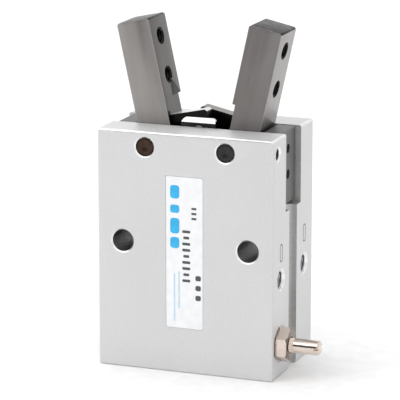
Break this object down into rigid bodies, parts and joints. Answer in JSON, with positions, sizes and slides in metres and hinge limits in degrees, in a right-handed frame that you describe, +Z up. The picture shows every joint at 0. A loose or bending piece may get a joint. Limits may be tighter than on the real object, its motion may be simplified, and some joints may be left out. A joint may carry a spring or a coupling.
{
  "type": "pneumatic gripper",
  "caption": "Angular air gripper: an aluminium block with a piston inside that swings steel fingers apart and together through a yoke, with air ports and a throttle needle on one side.",
  "frame": {"origin": "middle of the underside, on the flat boss of the end cap, level with the body's base", "axes": "+X across the fingers towards the side with the air ports, -Y the labelled front, +Z up along the piston and the fingers"},
  "size_m": [0.0516, 0.0276, 0.0791],
  "materials": {
    "housing": "matte clear-anodised, fine bead-blasted",
    "label_film": "pale silver film with plain coloured bars",
    "cover_steel": "dark sintered steel",
    "black_screws": "black oxide",
    "pin_steel": "ground",
    "finger_steel": "grey nickel over ground steel",
    "yoke_steel": "bright machined",
    "rod_chrome": "hard chrome, ground",
    "piston_alloy": "chromated",
    "cap_alloy": "turned and clear-anodised",
    "nitrile": "smooth nitrile rubber",
    "magnet": "rubber-bonded magnet",
    "bumper_urethane": "amber urethane",
    "bush_bronze": "sintered bronze",
    "spring_steel": "phosphated spring steel",
    "needle_nickel": "nickel-plated brass"
  },
  "bodies": {
    "housing": {"body": "housing", "label_plate": "label_film", "side_cover_left": "cover_steel", "side_cover_right": "cover_steel", "cover_screw_lower_left": "black_screws", "cover_screw_upper_left": "black_screws", "cover_screw_lower_right": "black_screws", "cover_screw_upper_right": "black_screws", "pin_lock_screw_left": "black_screws", "pin_lock_screw_right": "black_screws", "pivot_pin_left": "pin_steel", "pivot_pin_right": "pin_steel", "rod_bushing": "bush_bronze", "rod_seal": "nitrile", "seal_retainer": "pin_steel", "head_bumper": "bumper_urethane", "base_bumper": "bumper_urethane", "end_cap": "cap_alloy", "end_cap_oring": "nitrile", "retaining_ring": "spring_steel", "passage_plug": "pin_steel", "needle_lock_nut": "needle_nickel"},
    "piston_unit": {"piston": "piston_alloy", "piston_rod": "rod_chrome", "piston_seal": "nitrile", "magnet_ring": "magnet", "wear_ring": "bumper_urethane", "piston_nut": "pin_steel", "crosshead": "yoke_steel", "crosshead_pin": "pin_steel"},
    "left_finger": {"finger_left": "finger_steel"},
    "right_finger": {"finger_right": "finger_steel"},
    "needle_seal": {"needle_oring": "nitrile"},
    "needle": {"needle_valve": "needle_nickel"}
  },
  "joints": [
    {"name": "piston_stroke", "type": "slide", "parent": "housing", "child": "piston_unit", "axis": [0, 0, 1], "range_m": [-0.00295, 0.00045]},
    {"name": "finger_left_swing", "type": "hinge", "parent": "housing", "child": "left_finger", "pos_m": [-0.0096, 0, 0.0516], "axis": [0, -1, 0], "range_deg": [-17.5, 2.7]},
    {"name": "finger_right_swing", "type": "hinge", "parent": "housing", "child": "right_finger", "pos_m": [0.0096, 0, 0.0516], "axis": [0, 1, 0], "range_deg": [-17.5, 2.7]},
    {"name": "needle_travel", "type": "slide", "parent": "housing", "child": "needle_seal", "axis": [1, 0, 0], "range_m": [-0.00095, 0.00095]},
    {"name": "needle_turn", "type": "hinge", "parent": "needle_seal", "child": "needle", "pos_m": [0.0235, -0.0085, 0.0076], "axis": [1, 0, 0], "range_deg": [-685, 685]}
  ],
  "couplings": [
    {"joint": "finger_left_swing", "follows": "piston_stroke", "rad_per_m": 102.9},
    {"joint": "finger_right_swing", "follows": "piston_stroke", "rad_per_m": 102.9},
    {"joint": "needle_turn", "follows": "needle_travel", "rad_per_m": 12566}
  ]
}
